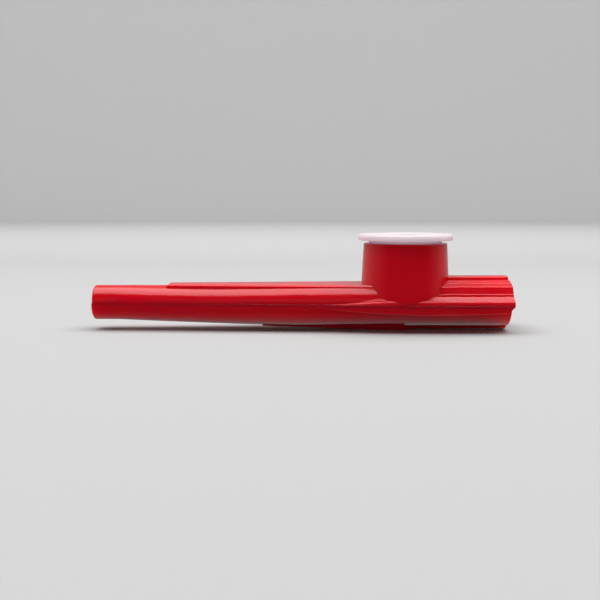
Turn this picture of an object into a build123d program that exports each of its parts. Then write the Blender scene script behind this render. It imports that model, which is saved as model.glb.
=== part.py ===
from build123d import *
import math
import os

# A plastic kazoo. Two moulded body shells are welded along a horizontal parting plane. The upper one
# carries a round turret, and a white cap pushed into the turret holds the humming membrane.
# Drawing frame, in millimetres: x runs from the outlet end to the mouthpiece, y is across,
# and z is up from the parting plane. place() moves a finished piece to the part's own frame.

# Body, overall
LENGTH = 120.0
WALL = 1.2
LOWER_OVERHANG = 0.15        # the lower shell is this much longer at the outlet
OUTLET_RADIUS = 5.0
OUTLET_BORE_RADIUS = OUTLET_RADIUS - WALL
OUTLET_STRAIGHT = 7.0        # plain cylinder before the taper starts
OUTLET_ROUNDING = 0.8
BORE_STEP = 0.05             # the air passage narrows by this where the plain bore ends

# Upper shell: a dome that widens up to the turret and then keeps its size
DOME_HALF_WIDTH = 10.8
DOME_HEIGHT = 7.0
DOME_LEG = 0.9               # under the turret the dome's sides stand upright for this height
LEG_ARC = 2.0                # degrees of the outlet's circle that grow into each upright side
DOME_RISE_START = 22.0
FLAT_TOP = 5.15              # the tapering stretch is cut flat at this height
TAPER_END = 88.0
DOME_STATIONS = (OUTLET_STRAIGHT, 22.0, 38.0, 52.0, 66.0, 78.0, TAPER_END)
DOME_END = 92.0              # under the turret, where the mouthpiece's own section takes over

# Lower shell: the belly, as wide as the dome up to BELLY_END
BELLY_DEPTH = 6.85
BELLY_END = 60.0
BELLY_BEND = 1.25            # 1 is a straight slope, more levels off towards its end
BELLY_STATIONS = (OUTLET_STRAIGHT, 18.0, 31.0, 45.0, BELLY_END)

# Wings along both sides of the mouthpiece half
WING_START = 64.0
WING_START_HALF_WIDTH = 8.5  # still inside the tube there
WING_HALF_WIDTH = 12.8
WING_FULL = 93.0             # where the wing reaches its full width
WING_STATIONS = (WING_START, 67.0, 71.0, 76.0, 83.0, 90.0, WING_FULL)
WING_TAIL_STATIONS = (WING_FULL, 104.0, 112.0, 122.0)
WING_SIDE_TOP = 1.6          # height of the corner above the side face
WING_SIDE_RISE_START = 67.0
WING_TIP_TOP = 0.25
WING_ROOT_RISE = 0.95        # the wing's top climbs this much towards the dome
WING_ROOT_WIDTH = 2.1
WING_LIP_DEPTH = 2.5         # lowest point of the lip under the wing
WING_LIP_MIDDLE = 98.0
WING_LIP_BEND = 0.72         # share of its depth that the lip loses over its reach
WING_LIP_REACH = 40.0
WING_LIP_ROUNDING = 0.35
WING_SIDE_LEAN = 0.35        # the side face leans in by this much down to the lip
WING_CORNER = 0.95
WING_CORNER_SHARE = 0.6      # the corner takes at most this share of the side face
WING_HOLLOW_STATIONS = (84.0, 88.0, 92.0, WING_FULL)
WING_HOLLOW_TOP = 0.85
WING_HOLLOW_BOTTOM = 1.2
WING_WALL = 1.35

# The end of the lower wings slopes back from the parting plane to the lip
END_SLOPE_BACK = 1.95        # at the lip, at the wing's side
END_SLOPE_DROP = 2.0
END_SLOPE_REACH = 6.3        # how far in from the side the slope runs out, at the lip

# Mouthpiece dome: a shallow arc between two ridges, over steep flanks. Each pair is (across, up),
# first under the turret and then at the mouthpiece end.
RIDGE = ((8.1, 5.0), (9.0, 5.1))
FLANK_FOOT = ((9.2, 3.0), (10.15, 3.1))
FLANK_LEG_OUT = 0.3
FLANK_LEG_TOP = 2.3
CAVITY_IN = 1.2              # how far the cavity's sides lie inside the flanks
CAVITY_DOWN = 1.15           # and its ridges below the outer ridges

# Turret
TURRET_X = 90.5
TURRET_FOOT = 0.9            # the turret's wall starts here, on the wings' upper edge
TURRET_BASE_RADIUS = 12.95
TURRET_RIM_RADIUS = 12.05
TURRET_RIM_HEIGHT = 17.25
TURRET_RIM_ROUNDING = 0.3
TURRET_CHAMBER_RADIUS = 10.8
WELL_RADIUS = 10.6
LEDGE_RADIUS = 8.6
LEDGE_HEIGHT = 13.6
LEDGE_THICKNESS = 1.2

# Raised panel on top, between the outlet and the turret
PANEL_START = 21.0
PANEL_BEVEL = 1.0
PANEL_START_HALF_WIDTH = 3.0
PANEL_END_HALF_WIDTH = 8.8
PANEL_TOP = 5.53
PANEL_EDGE = 0.45
PANEL_ROOT = 3.0
PANEL_CORNER = 0.6

# Ribs and fine lines on the mouthpiece
TOP_RIB_HALF_WIDTH = 2.7
TOP_RIB_HEIGHT = 7.7
TOP_RIB_EDGE = 0.65
LINE_RADIUS = 0.42
LINE_SINK = 0.2              # how far a line's centre lies under the skin
LINE_STARTS = (5.0, 6.6)     # distances from the middle, under the turret
LINE_ENDS = (4.7, 6.9)       # and at the mouthpiece end

# Ribs underneath
KEEL_START = 49.0
KEEL_END = 90.2
KEEL_START_HALF_WIDTH = 2.3
KEEL_END_HALF_WIDTH = 3.3
KEEL_START_DEPTH = 6.7
KEEL_END_DEPTH = 7.85
KEEL_ROOT = 5.0
TAIL_RIB_START = 89.0
TAIL_RIB_HALF_WIDTH = 1.0
TAIL_RIB_START_DEPTH = 7.72
TAIL_RIB_END_DEPTH = 7.5
KEEL_EDGE = 0.3

# Retaining cap and membrane
FLANGE_RADIUS = 13.6
FLANGE_BOTTOM = 18.05
FLANGE_TOP = 19.9
FLANGE_TOP_ROUNDING = 0.6
FLANGE_BOTTOM_ROUNDING = 0.3
PLUG_RADIUS = 10.5
PLUG_TIP_CHAMFER = 0.3
PLUG_NECK_ROUNDING = 0.6
SOUND_HOLE_RADIUS = 8.2
SOUND_HOLE_ROUNDING = 0.6
MEMBRANE_RADIUS = 10.4
MEMBRANE_THICKNESS = 0.12

# Cutting blocks are larger than the whole kazoo, and cuts run past the end that they open
BLOCK = 2 * LENGTH
PAST_END = 2.0
NEARLY = 0.01                # tolerance for finding an edge by its radius

# The part's own frame: the middle of its box, at the height of the keel's lowest edge
MIDDLE_X = (LENGTH - LOWER_OVERHANG) / 2
REST_HEIGHT = KEEL_END_DEPTH


def place(solid):
    return Pos(-MIDDLE_X, 0, REST_HEIGHT) * solid


def ease(u):
    """0 to 1 with level ends."""
    u = min(max(u, 0.0), 1.0)
    return u * u * (3 - 2 * u)


def ramp(x, start, end):
    return min(max((x - start) / (end - start), 0.0), 1.0)


def oval_arc(half_width, height, start, size):
    return EllipticalCenterArc((0, 0), half_width, height, start_angle=start, arc_size=size)


def half_oval(x, outline, up):
    """A half oval over (or under) the parting plane, in the plane at x."""
    face = make_face(outline)
    if up < 0:
        face = mirror(face, about=Plane.XZ)
    return Plane(origin=(x, 0, 0), x_dir=(0, 1, 0), z_dir=(1, 0, 0)) * face


def tube_half_width(x):
    grown = ramp(x, OUTLET_STRAIGHT, TAPER_END)
    return OUTLET_RADIUS + (DOME_HALF_WIDTH - OUTLET_RADIUS) * grown


def dome_section(x, inset):
    """Half an ellipse on upright legs. At the outlet each leg is still a piece of the circle."""
    rise = ease(ramp(x, DOME_RISE_START, TAPER_END))
    half_width = tube_half_width(x) - inset
    height = OUTLET_RADIUS + (DOME_HEIGHT - OUTLET_RADIUS) * rise - inset
    base = Line((-half_width, 0), (half_width, 0))
    if x == OUTLET_STRAIGHT:
        arcs = ((0, LEG_ARC), (LEG_ARC, 180 - 2 * LEG_ARC), (180 - LEG_ARC, LEG_ARC))
        return half_oval(x, [base] + [oval_arc(half_width, height, *arc) for arc in arcs], 1)
    leg = DOME_LEG * ramp(x, OUTLET_STRAIGHT, TAPER_END)
    top = Pos(0, leg) * oval_arc(half_width, height - leg, 0, 180)
    right = Line((half_width, 0), (half_width, leg))
    left = Line((-half_width, leg), (-half_width, 0))
    return half_oval(x, [base, right, top, left], 1)


def belly_section(x, inset):
    drop = 1 - (1 - ramp(x, OUTLET_STRAIGHT, BELLY_END)) ** BELLY_BEND
    half_width = tube_half_width(x) - inset
    depth = OUTLET_RADIUS + (BELLY_DEPTH - OUTLET_RADIUS) * drop - inset
    return half_oval(x, [Line((-half_width, 0), (half_width, 0)), oval_arc(half_width, depth, 0, 180)], -1)


def rod(radius, start, end):
    return extrude(Plane.YZ.offset(start) * Circle(radius), end - start)


def tapered_tube(section, stations, inset, end):
    """A loft through the stations, carried on unchanged to the end."""
    taper = loft([section(x, inset) for x in stations])
    last = section(stations[-1], inset)
    return taper + extrude(last, end - stations[-1], dir=(1, 0, 0))


def dome(inset, flat_top, end):
    tube = tapered_tube(dome_section, DOME_STATIONS, inset, end)
    return tube - Pos(TURRET_X / 2, 0, flat_top + BLOCK / 2) * Box(TURRET_X, BLOCK, BLOCK)


def belly(inset, end):
    return tapered_tube(belly_section, BELLY_STATIONS, inset, end)


def outlet(start, up):
    """Half of the plain cylinder at the outlet, with its outer edge rounded."""
    tube = rod(OUTLET_RADIUS, start, OUTLET_STRAIGHT)
    tube = fillet(tube.edges().sort_by(Axis.X)[0], OUTLET_ROUNDING)
    return tube & Pos(0, 0, up * BLOCK / 2) * Box(BLOCK, BLOCK, BLOCK)


def between(pair, x):
    """Interpolates a (start, end) pair of points along the mouthpiece."""
    share = (x - DOME_END) / (LENGTH - DOME_END)
    return [a + (b - a) * share for a, b in zip(*pair)]


def mouthpiece_section(x, in_by, down_by):
    ridge_y, ridge_z = between(RIDGE, x)
    foot_y, foot_z = between(FLANK_FOOT, x)
    top = DOME_HEIGHT - down_by
    leg = foot_y + FLANK_LEG_OUT - in_by
    side = [(leg, 0), (leg, FLANK_LEG_TOP - down_by / 2), (foot_y - in_by, foot_z - down_by / 2),
            (ridge_y - in_by, ridge_z - down_by)]
    right = [(x, y, z) for y, z in side]
    left = [(x, -y, z) for y, z in reversed(side)]
    edges = [Line(a, b) for a, b in zip(right, right[1:])]
    edges.append(ThreePointArc(right[-1], (x, 0, top), left[0]))
    edges += [Line(a, b) for a, b in zip(left, left[1:])]
    edges.append(Line(left[-1], right[0]))
    return Face(Wire(edges))


def mouthpiece_dome(in_by, down_by, end):
    return loft([mouthpiece_section(x, in_by, down_by) for x in (DOME_END, end)], ruled=True)


def wing_half_width(x):
    """Half width in plan: the wing swells out of the tube's side like a leaf."""
    swell = math.sin(math.pi / 2 * ramp(x, WING_START, WING_FULL))
    return WING_START_HALF_WIDTH + (WING_HALF_WIDTH - WING_START_HALF_WIDTH) * swell


def wing_side_top(x):
    return WING_TIP_TOP + (WING_SIDE_TOP - WING_TIP_TOP) * ease(ramp(x, WING_SIDE_RISE_START, TAPER_END))


def wing_lip_depth(x):
    """The lip hangs in a shallow arc, deepest just past the turret's middle."""
    reach = WING_LIP_MIDDLE - WING_START
    if x > WING_LIP_MIDDLE:
        reach = WING_LIP_REACH
    return WING_LIP_DEPTH * (1 - WING_LIP_BEND * ((x - WING_LIP_MIDDLE) / reach) ** 2)


def quarter_round(a, b):
    """An arc from a to b that bulges towards the outer corner between them."""
    corner_y = max(a[1], b[1], key=abs)
    corner_z = max(a[2], b[2], key=abs)
    share = math.sqrt(2) - 1
    middle = [(p + q) / 2 for p, q in zip(a, b)]
    middle[1] += share * (corner_y - middle[1])
    middle[2] += share * (corner_z - middle[2])
    return ThreePointArc(a, tuple(middle), b)


def wing_section(x, outline):
    """A closed face in the plane at x: foot, corner start, corner end, then the way to the middle."""
    right = [(x, y, z) for y, z in outline]
    left = [(x, -y, z) for y, z in reversed(outline)]
    chain = right + left
    edges = []
    for i, (a, b) in enumerate(zip(chain, chain[1:] + chain[:1])):
        rounded = i == 1 or i == len(chain) - 3
        edges.append(quarter_round(a, b) if rounded else Line(a, b))
    return Face(Wire(edges))


def upper_wing_section(x):
    width = wing_half_width(x)
    top = wing_side_top(x)
    corner = min(WING_CORNER, top * WING_CORNER_SHARE)
    root = top * (1 + WING_ROOT_RISE / WING_SIDE_TOP)
    outline = [(width, -1), (width, top - corner), (width - corner, top), (width - WING_ROOT_WIDTH, root)]
    return wing_section(x, outline)


def lower_wing_section(x):
    width = wing_half_width(x)
    depth = wing_lip_depth(x)
    lip = width - WING_SIDE_LEAN
    start = width + WING_SIDE_LEAN / (depth - WING_LIP_ROUNDING)
    outline = [(start, 1), (lip, WING_LIP_ROUNDING - depth), (lip - WING_LIP_ROUNDING, -depth), (1, -depth)]
    return wing_section(x, outline)


def wing(section):
    leaf = loft([section(x) for x in WING_STATIONS])
    return leaf + loft([section(x) for x in WING_TAIL_STATIONS])


def end_slope():
    """What the sloping end corners of the lower wings leave out, on both sides."""
    side = Vector(LENGTH + LOWER_OVERHANG, WING_HALF_WIDTH, 0)
    lip_width = WING_HALF_WIDTH - WING_SIDE_LEAN
    at_lip = Vector(LENGTH + LOWER_OVERHANG - END_SLOPE_BACK, lip_width, -END_SLOPE_DROP)
    run_out = Vector(LENGTH + LOWER_OVERHANG, WING_HALF_WIDTH - END_SLOPE_REACH, -END_SLOPE_DROP)
    outward = (at_lip - side).cross(run_out - side)
    if outward.X < 0:
        outward = -outward
    block = Plane(origin=side, z_dir=outward) * Pos(0, 0, BLOCK / 2) * Box(BLOCK, BLOCK, BLOCK)
    return block + mirror(block, about=Plane.XZ)


def wing_hollow(start_z, end_z):
    """The slot inside the wings, open at the mouthpiece end."""
    side = [(x, wing_half_width(x) - WING_WALL) for x in WING_HOLLOW_STATIONS]
    end = LENGTH + PAST_END
    curve = Spline(*side)
    mirrored = Spline(*[(x, -y) for x, y in reversed(side)])
    corners = [(end, side[-1][1]), (end, -side[-1][1])]
    outline = [
        curve,
        Line(side[-1], corners[0]),
        Line(corners[0], corners[1]),
        Line(corners[1], (side[-1][0], -side[-1][1])),
        mirrored,
        Line((side[0][0], -side[0][1]), side[0]),
    ]
    return Pos(0, 0, start_z) * extrude(Face(Wire(outline)), end_z - start_z, dir=(0, 0, 1))


def tapered_bar(start, start_half_width, start_z, end, end_half_width, end_z, root_z):
    """A flat-sided bar along x, from root_z to a face that runs from start_z to end_z."""
    plan = [(start, -start_half_width), (end, -end_half_width)]
    plan += [(end, end_half_width), (start, start_half_width)]
    side = [(start, root_z), (end, root_z), (end, end_z), (start, start_z)]
    footprint = extrude(Face(Polyline(*plan, close=True)), BLOCK, dir=(0, 0, 1), both=True)
    side_face = Face(Polyline(*[(x, 0, z) for x, z in side], close=True))
    return footprint & extrude(side_face, BLOCK, dir=(0, 1, 0), both=True)


def panel():
    """The flat raised panel between the outlet and the turret, with a sloping start."""
    bar = tapered_bar(PANEL_START, PANEL_START_HALF_WIDTH, PANEL_TOP,
                      TURRET_X, PANEL_END_HALF_WIDTH, PANEL_TOP, PANEL_ROOT)
    nose = bar.faces().sort_by(Axis.Z)[-1].edges().sort_by(Axis.X)[0]
    bar = chamfer(nose, PANEL_BEVEL)
    sides = bar.faces().sort_by(Axis.Z)[-1].edges().sort_by(Axis.Y)
    bar = chamfer([sides[0], sides[-1]], PANEL_EDGE)
    return fillet(bar.edges().filter_by(Axis.Z).group_by(Axis.X)[0], PANEL_CORNER)


def top_rib():
    bar = tapered_bar(TURRET_X + LEDGE_RADIUS, TOP_RIB_HALF_WIDTH, TOP_RIB_HEIGHT,
                      LENGTH, TOP_RIB_HALF_WIDTH, TOP_RIB_HEIGHT, DOME_HEIGHT - WALL / 2)
    across = bar.faces().sort_by(Axis.Z)[-1].edges().sort_by(Axis.Y)
    return fillet([across[0], across[-1]], TOP_RIB_EDGE)


def keel():
    """The rib under the body that grows towards the turret and stops square."""
    bar = tapered_bar(KEEL_START, KEEL_START_HALF_WIDTH, -KEEL_START_DEPTH,
                      KEEL_END, KEEL_END_HALF_WIDTH, -KEEL_END_DEPTH, -KEEL_ROOT)
    lower_edges = bar.edges().filter_by(Axis.Y).sort_by(Axis.Z)[:2]
    return fillet(lower_edges.sort_by(Axis.X)[-1], KEEL_EDGE)


def tail_rib():
    return tapered_bar(TAIL_RIB_START, TAIL_RIB_HALF_WIDTH, -TAIL_RIB_START_DEPTH,
                       LENGTH, TAIL_RIB_HALF_WIDTH, -TAIL_RIB_END_DEPTH, WALL / 2 - BELLY_DEPTH)


def skin_height(x, y):
    """Height of the mouthpiece's shallow arc at this distance from the middle."""
    ridge_y, ridge_z = between(RIDGE, x)
    rise = DOME_HEIGHT - ridge_z
    radius = (ridge_y**2 + rise**2) / (2 * rise)
    return DOME_HEIGHT - radius + math.sqrt(radius**2 - y**2)


def moulded_line(start, end):
    """A fine raised line between two (across, up) points, on both flanks."""
    first = Vector(DOME_END, *start)
    last = Vector(LENGTH, *end)
    line = last - first
    bar = extrude(Plane(origin=first, z_dir=line) * Circle(LINE_RADIUS), line.length)
    return [bar, mirror(bar, about=Plane.XZ)]


def moulded_lines():
    """Lines on the arc, on each ridge and at the foot of each flank."""
    lines = []
    for start_y, end_y in zip(LINE_STARTS, LINE_ENDS):
        start = (start_y, skin_height(DOME_END, start_y) - LINE_SINK)
        end = (end_y, skin_height(LENGTH, end_y) - LINE_SINK)
        lines += moulded_line(start, end)
    for pair in (RIDGE, FLANK_FOOT):
        start, end = [(y - LINE_SINK, z - LINE_SINK) for y, z in pair]
        lines += moulded_line(start, end)
    return lines


def turret():
    cone = Cone(TURRET_BASE_RADIUS, TURRET_RIM_RADIUS, TURRET_RIM_HEIGHT)
    cone = fillet(cone.edges().sort_by(Axis.Z)[-1], TURRET_RIM_ROUNDING)
    cone -= Pos(0, 0, TURRET_FOOT - TURRET_RIM_HEIGHT) * Box(BLOCK, BLOCK, TURRET_RIM_HEIGHT)
    return Pos(TURRET_X, 0, TURRET_RIM_HEIGHT / 2) * cone


def upright(radius, bottom, top):
    return Pos(TURRET_X, 0, (bottom + top) / 2) * Cylinder(radius, top - bottom)


def upper_shell():
    shell = dome(0, FLAT_TOP, DOME_END) + outlet(0, 1)
    shell += mouthpiece_dome(0, 0, LENGTH)
    shell += wing(upper_wing_section)
    shell += panel()
    shell += top_rib()
    shell += moulded_lines()
    shell += turret()
    shell &= Pos(LENGTH / 2, 0, BLOCK / 2) * Box(LENGTH, BLOCK, BLOCK)
    shell -= dome(WALL + BORE_STEP, PANEL_TOP - WALL, DOME_END)
    shell -= mouthpiece_dome(CAVITY_IN, CAVITY_DOWN, LENGTH + PAST_END)
    shell -= rod(OUTLET_BORE_RADIUS, -PAST_END, OUTLET_STRAIGHT)
    shell -= wing_hollow(-PAST_END, WING_HOLLOW_TOP)
    shell -= upright(TURRET_CHAMBER_RADIUS, -PAST_END, LEDGE_HEIGHT - LEDGE_THICKNESS)
    shell -= upright(LEDGE_RADIUS, 0, LEDGE_HEIGHT + PAST_END)
    shell -= upright(WELL_RADIUS, LEDGE_HEIGHT, TURRET_RIM_HEIGHT + PAST_END)
    return shell


def lower_shell():
    length = LENGTH + LOWER_OVERHANG
    shell = belly(0, LENGTH) + outlet(-LOWER_OVERHANG, -1)
    shell += wing(lower_wing_section) - end_slope()
    shell += keel()
    shell += tail_rib()
    shell &= Pos(LENGTH - length / 2, 0, -BLOCK / 2) * Box(length, BLOCK, BLOCK)
    shell -= belly(WALL + BORE_STEP, LENGTH + PAST_END)
    shell -= rod(OUTLET_BORE_RADIUS, -PAST_END, OUTLET_STRAIGHT)
    shell -= wing_hollow(-WING_HOLLOW_BOTTOM, PAST_END)
    return shell


def rings(solid, radius):
    """The solid's circular edges of this radius, from the lowest to the highest."""
    circles = solid.edges().filter_by(GeomType.CIRCLE)
    return circles.filter_by(lambda edge: abs(edge.radius - radius) < NEARLY).sort_by(Axis.Z)


def retaining_cap():
    """A ring with a wide round-edged flange and a plug that presses on the membrane's rim."""
    bottom = LEDGE_HEIGHT + MEMBRANE_THICKNESS
    plug = upright(PLUG_RADIUS, bottom, FLANGE_BOTTOM)
    plug = chamfer(plug.edges().sort_by(Axis.Z)[0], PLUG_TIP_CHAMFER)
    flange = upright(FLANGE_RADIUS, FLANGE_BOTTOM, FLANGE_TOP)
    flange = fillet(rings(flange, FLANGE_RADIUS)[-1], FLANGE_TOP_ROUNDING)
    flange = fillet(rings(flange, FLANGE_RADIUS)[0], FLANGE_BOTTOM_ROUNDING)
    cap = plug + flange
    cap = fillet(rings(cap, PLUG_RADIUS)[-1], PLUG_NECK_ROUNDING)
    cap -= upright(SOUND_HOLE_RADIUS, bottom - PAST_END, FLANGE_TOP + PAST_END)
    return fillet(rings(cap, SOUND_HOLE_RADIUS)[-1], SOUND_HOLE_ROUNDING)


def membrane():
    return upright(MEMBRANE_RADIUS, LEDGE_HEIGHT, LEDGE_HEIGHT + MEMBRANE_THICKNESS)


def main():
    os.makedirs("parts", exist_ok=True)
    pieces = {
        "upper_shell": upper_shell(),
        "lower_shell": lower_shell(),
        "retaining_cap": retaining_cap(),
        "membrane": membrane(),
    }
    for name, solid in pieces.items():
        export_step(place(solid), f"parts/{name}.step")


main()
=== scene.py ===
import math

import bpy
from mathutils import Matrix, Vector, noise
from mathutils.bvhtree import BVHTree


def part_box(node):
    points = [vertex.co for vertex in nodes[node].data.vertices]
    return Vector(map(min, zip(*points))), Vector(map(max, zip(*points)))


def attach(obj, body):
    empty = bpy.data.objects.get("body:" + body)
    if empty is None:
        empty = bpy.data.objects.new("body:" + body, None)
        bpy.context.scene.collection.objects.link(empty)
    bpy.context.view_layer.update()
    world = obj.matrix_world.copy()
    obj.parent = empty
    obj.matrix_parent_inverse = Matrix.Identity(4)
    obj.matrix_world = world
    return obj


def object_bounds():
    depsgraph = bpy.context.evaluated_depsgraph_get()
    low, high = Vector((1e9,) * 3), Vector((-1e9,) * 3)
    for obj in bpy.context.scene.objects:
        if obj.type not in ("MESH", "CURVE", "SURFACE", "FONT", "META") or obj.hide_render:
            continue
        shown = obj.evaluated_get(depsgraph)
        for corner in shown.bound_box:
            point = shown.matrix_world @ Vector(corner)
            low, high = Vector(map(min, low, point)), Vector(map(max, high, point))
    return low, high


# A red plastic kazoo with a white membrane cap, on a pale studio floor. Metres, in the row frame.

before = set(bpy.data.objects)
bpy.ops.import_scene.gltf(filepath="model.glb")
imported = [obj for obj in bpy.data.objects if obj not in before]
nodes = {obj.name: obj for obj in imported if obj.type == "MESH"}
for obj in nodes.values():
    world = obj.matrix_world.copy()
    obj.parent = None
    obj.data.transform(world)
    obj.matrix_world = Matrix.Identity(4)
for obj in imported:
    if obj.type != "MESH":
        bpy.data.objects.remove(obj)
cad_low, cad_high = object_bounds()

MM = 0.001
PARTING_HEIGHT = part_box("upper_shell")[0].z

# Camera: square to the side of the kazoo, looking down by its pitch
CAMERA_DISTANCE = 0.265
CAMERA_PITCH = 6.0
CAMERA_AIM_HEIGHT = 0.00843
CAMERA_LENS = 54.4
CAMERA_NEAR = 0.01

# Plastic: features per metre of each layer of unevenness, and the span that most noise values lie in
DRIFT_SCALE = 90.0
PATCH_SCALE = 260.0
SINK_SCALE = 160.0
GRAIN_SCALE = 5200.0
NOISE_LOW = 0.3
NOISE_HIGH = 0.7
PLASTIC_IOR = 1.45
FILM_CLEARNESS = 0.35

# Weld flash along the parting line: none at the outlet, then an uneven bead
FLASH_STEP = 0.3 * MM
FLASH_START = 16 * MM        # from the outlet end
FLASH_FULL = 50 * MM         # and where it has grown to its full size
FLASH_OUT = 0.16 * MM        # how far it stands out
FLASH_TALL = 0.27 * MM       # half its height
FLASH_SIDES = 8
FLASH_START_SIZE = 0.25      # sizes are shares of the full one
FLASH_MEAN_SIZE = 0.75
FLASH_LEAST_SIZE = 0.12
FLASH_RAGGED = 0.55          # how much each layer of noise adds or takes away
FLASH_DASHED = 0.35
FLASH_WANDER = 0.3           # how far the bead strays up and down
RAGGED_RATE = 420            # noise features per metre
DASHED_RATE = 1500
WANDER_RATE = 260
RAGGED_LAYER = 0             # keeps the layers of noise apart
DASHED_LAYER = 5
WANDER_LAYER = 9
SIDE_SHIFT = 7.0             # and the two sides of the kazoo
PROBE_DISTANCE = 50 * MM     # rays start this far out, and this far above the parting line
PROBE_LIFT = 0.02 * MM

# Studio: a round cove, a softbox overhead, a weak panel in front and a wash over the far wall
FLOOR_INNER_RADIUS = 0.4
FLOOR_RADIUS = 1.7
COVE_RADIUS = 0.8
WALL_HEIGHT = 3.0
COVE_STEPS = 24
WALL_STEPS = 96
FLOOR_GREY = 0.46
FLOOR_ROUGHNESS = 0.9
FLOOR_SPECULAR = 0.1
SOFTBOX_HEIGHT = 0.9
SOFTBOX_FRONT = -0.42        # edges along y
SOFTBOX_BACK = 0.52
SOFTBOX_WIDTH = 1.8
SOFTBOX_POWER = 18.5
PANEL_PLACE = (0.25, -1.5, 0.62)
PANEL_AIM = (0, 0, 0.01)
PANEL_SIZE = (1.6, 0.7)
PANEL_POWER = 0.78
WASH_PLACE = (0, 0.3, 1.4)
WASH_AIM = (0, 2.5, 1.4)
WASH_SIZE = (2.6, 0.6)
WASH_POWER = 55.0
WORLD_FRONT = 0.02           # what the plastic reflects from the camera's side
WORLD_BACK = 0.42            # and from behind it
WORLD_FRONT_EDGE = -0.6      # y of the directions between which the one turns into the other
WORLD_BACK_EDGE = 0.3


# ---------------------------------------------------------------- shared helpers

def principled(name):
    material = bpy.data.materials.new(name)
    material.use_nodes = True
    return material, material.node_tree.nodes, material.node_tree.links


def cover(obj, material):
    obj.data.materials.clear()
    obj.data.materials.append(material)


def ring_faces(ring_count, sides):
    """Quads that join each ring of points to the next one."""
    faces = []
    for i in range(ring_count - 1):
        for k in range(sides):
            a, b = i * sides + k, i * sides + (k + 1) % sides
            faces.append((a, b, b + sides, a + sides))
    return faces


def smooth_object(name, points, faces):
    mesh = bpy.data.meshes.new(name)
    mesh.from_pydata(points, [], faces)
    mesh.shade_smooth()
    obj = bpy.data.objects.new(name, mesh)
    bpy.context.scene.collection.objects.link(obj)
    return obj


# ---------------------------------------------------------------- materials

def noise_node(tree_nodes, links, coords, scale, detail=2.0, roughness=0.5):
    node = tree_nodes.new("ShaderNodeTexNoise")
    node.inputs["Scale"].default_value = scale
    node.inputs["Detail"].default_value = detail
    node.inputs["Roughness"].default_value = roughness
    links.new(coords.outputs["Object"], node.inputs["Vector"])
    return node


def spread_noise(tree_nodes, links, source, low, high):
    """Stretch the usual span of a noise value to run from low to high."""
    node = tree_nodes.new("ShaderNodeMapRange")
    node.inputs["From Min"].default_value = NOISE_LOW
    node.inputs["From Max"].default_value = NOISE_HIGH
    node.inputs["To Min"].default_value = low
    node.inputs["To Max"].default_value = high
    links.new(source.outputs["Fac"], node.inputs["Value"])
    return node.outputs["Result"]


def bump_node(tree_nodes, links, height, distance, below=None):
    node = tree_nodes.new("ShaderNodeBump")
    node.inputs["Strength"].default_value = 1.0
    node.inputs["Distance"].default_value = distance
    links.new(height.outputs["Fac"], node.inputs["Height"])
    if below:
        links.new(below.outputs["Normal"], node.inputs["Normal"])
    return node


def moulded_plastic(name, colour, shade, roughness, waviness, texture):
    """Injection-moulded plastic: slow colour drift, patchy gloss, sink waviness and a fine mould grain."""
    material, tree_nodes, links = principled(name)
    shader = tree_nodes["Principled BSDF"]
    coords = tree_nodes.new("ShaderNodeTexCoord")

    drift = noise_node(tree_nodes, links, coords, DRIFT_SCALE, detail=3.0)
    mix = tree_nodes.new("ShaderNodeMix")
    mix.data_type = "RGBA"
    mix.inputs["A"].default_value = (*colour, 1)
    mix.inputs["B"].default_value = (*shade, 1)
    links.new(spread_noise(tree_nodes, links, drift, 0.0, 1.0), mix.inputs["Factor"])
    links.new(mix.outputs["Result"], shader.inputs["Base Color"])

    patches = noise_node(tree_nodes, links, coords, PATCH_SCALE, detail=4.0, roughness=0.6)
    links.new(spread_noise(tree_nodes, links, patches, *roughness), shader.inputs["Roughness"])

    slow = noise_node(tree_nodes, links, coords, SINK_SCALE, detail=1.0)
    sink = bump_node(tree_nodes, links, slow, waviness)
    grain = noise_node(tree_nodes, links, coords, GRAIN_SCALE)
    fine = bump_node(tree_nodes, links, grain, texture, below=sink)
    links.new(fine.outputs["Normal"], shader.inputs["Normal"])
    shader.inputs["IOR"].default_value = PLASTIC_IOR
    return material, shader


def scatter(shader, weight, depth, shares):
    """Let light travel under the surface, each colour to its own share of the depth."""
    shader.inputs["Subsurface Weight"].default_value = weight
    shader.inputs["Subsurface Radius"].default_value = shares
    shader.inputs["Subsurface Scale"].default_value = depth


def red_plastic():
    material, shader = moulded_plastic(
        "moulded_red", colour=(0.68, 0.001, 0.012), shade=(0.62, 0.0008, 0.010),
        roughness=(0.14, 0.22), waviness=0.04 * MM, texture=0.0006 * MM)
    scatter(shader, weight=0.75, depth=4.0 * MM, shares=(1.0, 0.03, 0.04))
    return material


def white_plastic():
    material, shader = moulded_plastic(
        "moulded_white", colour=(0.66, 0.575, 0.615), shade=(0.62, 0.54, 0.58),
        roughness=(0.36, 0.46), waviness=0.02 * MM, texture=0.0008 * MM)
    scatter(shader, weight=1.0, depth=8.0 * MM, shares=(1.0, 0.85, 0.9))
    return material


def film():
    material, shader = moulded_plastic(
        "stretched_film", colour=(0.74, 0.73, 0.70), shade=(0.66, 0.65, 0.62),
        roughness=(0.30, 0.48), waviness=0.08 * MM, texture=0.0)
    shader.inputs["Transmission Weight"].default_value = FILM_CLEARNESS
    return material


shell_material = red_plastic()
for node_name in ("upper_shell", "lower_shell"):
    cover(nodes[node_name], shell_material)
cover(nodes["retaining_cap"], white_plastic())
cover(nodes["membrane"], film())


# ---------------------------------------------------------------- weld flash

def shell_side(tree, x, side):
    """Where the upper shell's outer skin meets the parting plane at this x."""
    outside = Vector((x, side * PROBE_DISTANCE, PARTING_HEIGHT + PROBE_LIFT))
    hit = tree.ray_cast(outside, Vector((0, -side, 0)))[0]
    if hit:
        hit.z = PARTING_HEIGHT
    return hit


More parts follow.
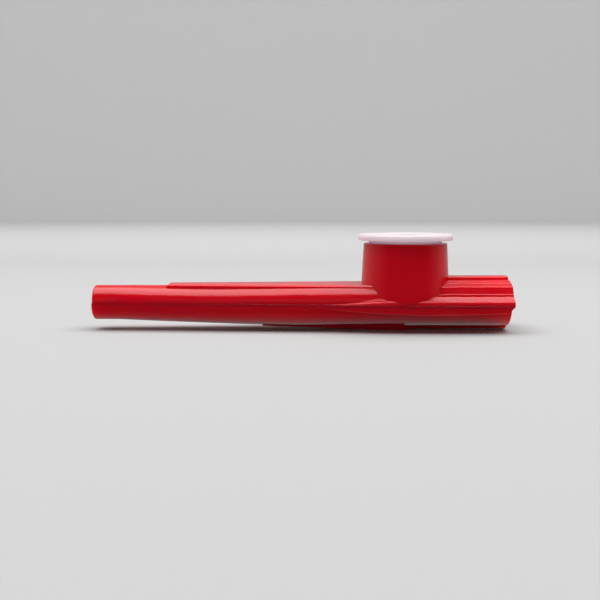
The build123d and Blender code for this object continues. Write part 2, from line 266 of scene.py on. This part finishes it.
def uneven(x, side, rate, layer):
    """A smooth noise value that varies along the bead."""
    return noise.noise(Vector((x * rate, side * SIDE_SHIFT, layer)))


def bead_size(x, along, side):
    """The bead's size at this x, as a share of its full size."""
    grown = min((along - FLASH_START) / (FLASH_FULL - FLASH_START), 1.0)
    ragged = uneven(x, side, RAGGED_RATE, RAGGED_LAYER)
    dashes = uneven(x, side, DASHED_RATE, DASHED_LAYER)
    size = FLASH_START_SIZE + (1 - FLASH_START_SIZE) * grown
    size *= FLASH_MEAN_SIZE + FLASH_RAGGED * ragged + FLASH_DASHED * dashes
    return max(size, FLASH_LEAST_SIZE)


def flash_bead(tree, side):
    """An uneven bead of weld flash that follows one side of the parting line."""
    low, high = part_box("upper_shell")
    first = int(FLASH_START / FLASH_STEP)
    last = int((high.x - low.x) / FLASH_STEP)
    hits = [shell_side(tree, low.x + i * FLASH_STEP, side) for i in range(first, last)]
    centres = [hit for hit in hits if hit]
    points = []
    for centre in centres:
        size = bead_size(centre.x, centre.x - low.x, side)
        wander = uneven(centre.x, side, WANDER_RATE, WANDER_LAYER)
        for k in range(FLASH_SIDES):
            turn = 2 * math.pi * k / FLASH_SIDES
            points.append((
                centre.x,
                centre.y + side * FLASH_OUT * size * math.cos(turn),
                centre.z + FLASH_TALL * (size * math.sin(turn) + FLASH_WANDER * wander),
            ))
    faces = ring_faces(len(centres), FLASH_SIDES)
    faces.append(tuple(reversed(range(FLASH_SIDES))))
    faces.append(tuple(range(len(points) - FLASH_SIDES, len(points))))
    bead = smooth_object(f"weld_flash_{'left' if side > 0 else 'right'}", points, faces)
    cover(bead, shell_material)
    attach(bead, "body")


shell_tree = BVHTree.FromObject(nodes["upper_shell"], bpy.context.evaluated_depsgraph_get())
for flash_side in (-1, 1):
    flash_bead(shell_tree, flash_side)


# ---------------------------------------------------------------- studio

def floor_paint():
    material, tree_nodes, links = principled("floor_paint")
    shader = tree_nodes["Principled BSDF"]
    shader.inputs["Base Color"].default_value = (FLOOR_GREY, FLOOR_GREY, FLOOR_GREY, 1)
    shader.inputs["Roughness"].default_value = FLOOR_ROUGHNESS
    shader.inputs["Specular IOR Level"].default_value = FLOOR_SPECULAR
    return material


def cove():
    """A round floor that curves up into a wall all the way round."""
    profile = [(0.0, 0.0), (FLOOR_INNER_RADIUS, 0.0), (FLOOR_RADIUS, 0.0)]
    for i in range(1, COVE_STEPS + 1):
        turn = math.pi / 2 * i / COVE_STEPS
        profile.append((FLOOR_RADIUS + COVE_RADIUS * math.sin(turn), COVE_RADIUS * (1 - math.cos(turn))))
    profile.append((FLOOR_RADIUS + COVE_RADIUS, WALL_HEIGHT))
    points = []
    for radius, height in profile:
        for k in range(WALL_STEPS):
            turn = 2 * math.pi * k / WALL_STEPS
            points.append((radius * math.cos(turn), radius * math.sin(turn), cad_low.z + height))
    floor = smooth_object("floor", points, ring_faces(len(profile), WALL_STEPS))
    floor.visible_glossy = False
    cover(floor, floor_paint())


def area_light(name, place, aim, size, power):
    light = bpy.data.lights.new(name, "AREA")
    light.shape = "RECTANGLE"
    light.size, light.size_y = size
    light.energy = power
    lamp = bpy.data.objects.new(name, light)
    lamp.location = place
    lamp.rotation_euler = (Vector(aim) - Vector(place)).to_track_quat("-Z", "Y").to_euler()
    lamp.visible_camera = False
    bpy.context.scene.collection.objects.link(lamp)


def studio_lights():
    middle = (SOFTBOX_FRONT + SOFTBOX_BACK) / 2
    depth = SOFTBOX_BACK - SOFTBOX_FRONT
    area_light("softbox", (0, middle, SOFTBOX_HEIGHT), (0, middle, 0), (SOFTBOX_WIDTH, depth), SOFTBOX_POWER)
    area_light("front_panel", PANEL_PLACE, PANEL_AIM, PANEL_SIZE, PANEL_POWER)
    area_light("wall_wash", WASH_PLACE, WASH_AIM, WASH_SIZE, WASH_POWER)


def studio_world():
    """Dark on the camera's side and grey behind. The cove hides it from all but reflections."""
    world = bpy.data.worlds.new("studio")
    world.use_nodes = True
    tree = world.node_tree
    coords = tree.nodes.new("ShaderNodeTexCoord")
    split = tree.nodes.new("ShaderNodeSeparateXYZ")
    ramp = tree.nodes.new("ShaderNodeMapRange")
    ramp.inputs["From Min"].default_value = WORLD_FRONT_EDGE
    ramp.inputs["From Max"].default_value = WORLD_BACK_EDGE
    ramp.inputs["To Min"].default_value = WORLD_FRONT
    ramp.inputs["To Max"].default_value = WORLD_BACK
    tree.links.new(coords.outputs["Generated"], split.inputs["Vector"])
    tree.links.new(split.outputs["Y"], ramp.inputs["Value"])
    tree.links.new(ramp.outputs["Result"], tree.nodes["Background"].inputs["Strength"])
    tree.nodes["Background"].inputs["Color"].default_value = (1, 1, 1, 1)
    bpy.context.scene.world = world


def side_camera():
    """The camera in front of the kazoo's middle, aimed at it and looking down."""
    camera_data = bpy.data.cameras.new("camera")
    camera_data.lens = CAMERA_LENS
    camera_data.clip_start = CAMERA_NEAR
    camera = bpy.data.objects.new("camera", camera_data)
    pitch = math.radians(CAMERA_PITCH)
    middle_x = (cad_low.x + cad_high.x) / 2
    height = CAMERA_AIM_HEIGHT + CAMERA_DISTANCE * math.sin(pitch)
    camera.location = (middle_x, -CAMERA_DISTANCE * math.cos(pitch), height)
    camera.rotation_euler = (math.pi / 2 - pitch, 0, 0)
    bpy.context.scene.collection.objects.link(camera)
    bpy.context.scene.camera = camera


cove()
studio_lights()
studio_world()
side_camera()
bpy.context.scene.view_settings.view_transform = "Standard"
